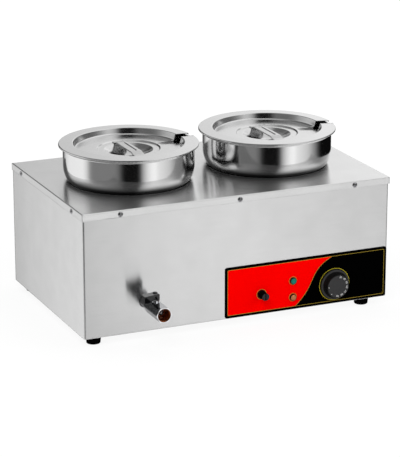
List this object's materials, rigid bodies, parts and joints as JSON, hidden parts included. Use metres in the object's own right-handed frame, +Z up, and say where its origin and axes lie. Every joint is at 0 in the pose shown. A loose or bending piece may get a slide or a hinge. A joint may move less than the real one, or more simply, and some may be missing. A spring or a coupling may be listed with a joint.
{
  "type": "bain marie",
  "caption": "Countertop wet bain marie: brushed steel water-bath casing with lidded round pots, a quarter-turn drain tap and a front panel with thermostat knob, lamps and fuse.",
  "frame": {"origin": "centre of the whole part's footprint, on the surface the feet stand on", "axes": "+X to the right seen from the front, -Y towards the front with the tap and the panel, +Z up"},
  "size_m": [0.557, 0.437, 0.289],
  "materials": {
    "brushed_stainless": "long-grain brushed",
    "polished_stainless": "mirror polished",
    "satin_stainless": "satin",
    "bright_screws": "bright",
    "zinc_steel": "zinc plated",
    "element_sheath": "dull drawn",
    "chrome": "bright plated",
    "brass": "turned",
    "copper": "drawn copper",
    "black_rubber": "moulded",
    "white_seal": "turned",
    "black_plastic": "moulded",
    "knob_plastic": "moulded, printed numbers",
    "white_plastic": "moulded",
    "panel_print": "screen printed red and black",
    "green_lens": "clear moulded",
    "amber_lens": "clear moulded",
    "fuse_glass": "clear"
  },
  "bodies": {
    "cabinet": {"casing_wrap": "brushed_stainless", "rear_panel": "brushed_stainless", "base_plate": "brushed_stainless", "top_cover": "brushed_stainless", "water_tank": "brushed_stainless", "control_panel": "panel_print", "heating_element": "element_sheath", "element_gaskets": "black_rubber", "element_nuts": "zinc_steel", "element_stay": "zinc_steel", "drain_socket": "zinc_steel", "tap_neck": "brass", "tap_gasket": "black_rubber", "tap_locknut": "brass", "tap_body": "chrome", "tap_seats": "white_seal", "thermostat_body": "black_plastic", "thermostat_nut": "zinc_steel", "thermostat_bulb": "copper", "bulb_clips": "zinc_steel", "green_lamp_lens": "green_lens", "green_lamp_body": "black_plastic", "amber_lamp_lens": "amber_lens", "amber_lamp_body": "black_plastic", "lamp_nuts": "black_plastic", "fuse_holder_body": "black_plastic", "fuse_holder_nut": "black_plastic", "cable_gland_body": "black_plastic", "cable_gland_nut": "black_plastic", "cable_gland_locknut": "black_plastic", "terminal_block": "white_plastic", "rubber_feet": "black_rubber", "foot_screws": "zinc_steel", "foot_nuts": "zinc_steel", "cover_screws": "bright_screws", "rear_panel_screws": "bright_screws"},
    "pot_left": {"pot_left": "polished_stainless"},
    "pot_right": {"pot_right": "polished_stainless"},
    "lid_left": {"lid_left": "satin_stainless", "lid_handle_left": "satin_stainless"},
    "lid_right": {"lid_right": "satin_stainless", "lid_handle_right": "satin_stainless"},
    "drain_lever": {"tap_lever": "black_plastic", "tap_lever_screw": "black_plastic", "tap_stem": "brass", "tap_ball": "chrome"},
    "dial": {"thermostat_knob": "knob_plastic", "thermostat_shaft": "zinc_steel"},
    "fuse_carrier": {"fuse_link": "fuse_glass"},
    "fuse_twist": {"fuse_cap": "black_plastic"}
  },
  "joints": [
    {"name": "pot_left_lift", "type": "slide", "parent": "cabinet", "child": "pot_left", "axis": [0, 0, 1], "range_m": [0, 0.15]},
    {"name": "lid_left_lift", "type": "slide", "parent": "pot_left", "child": "lid_left", "axis": [0, 0, 1], "range_m": [0, 0.1]},
    {"name": "pot_right_lift", "type": "slide", "parent": "cabinet", "child": "pot_right", "axis": [0, 0, 1], "range_m": [0, 0.15]},
    {"name": "lid_right_lift", "type": "slide", "parent": "pot_right", "child": "lid_right", "axis": [0, 0, 1], "range_m": [0, 0.1]},
    {"name": "drain_turn", "type": "hinge", "parent": "cabinet", "child": "drain_lever", "pos_m": [-0.1675, -0.1805, 0.0668], "axis": [0, 0, 1], "range_deg": [0, 90]},
    {"name": "dial_turn", "type": "hinge", "parent": "cabinet", "child": "dial", "pos_m": [0.1756, -0.1415, 0.0495], "axis": [0, 1, 0], "range_deg": [0, 270]},
    {"name": "fuse_pull", "type": "slide", "parent": "cabinet", "child": "fuse_carrier", "axis": [0, -1, 0], "range_m": [0, 0.03]},
    {"name": "fuse_turn", "type": "hinge", "parent": "fuse_carrier", "child": "fuse_twist", "pos_m": [0.04, -0.1415, 0.05], "axis": [0, -1, 0], "range_deg": [0, 45]}
  ]
}
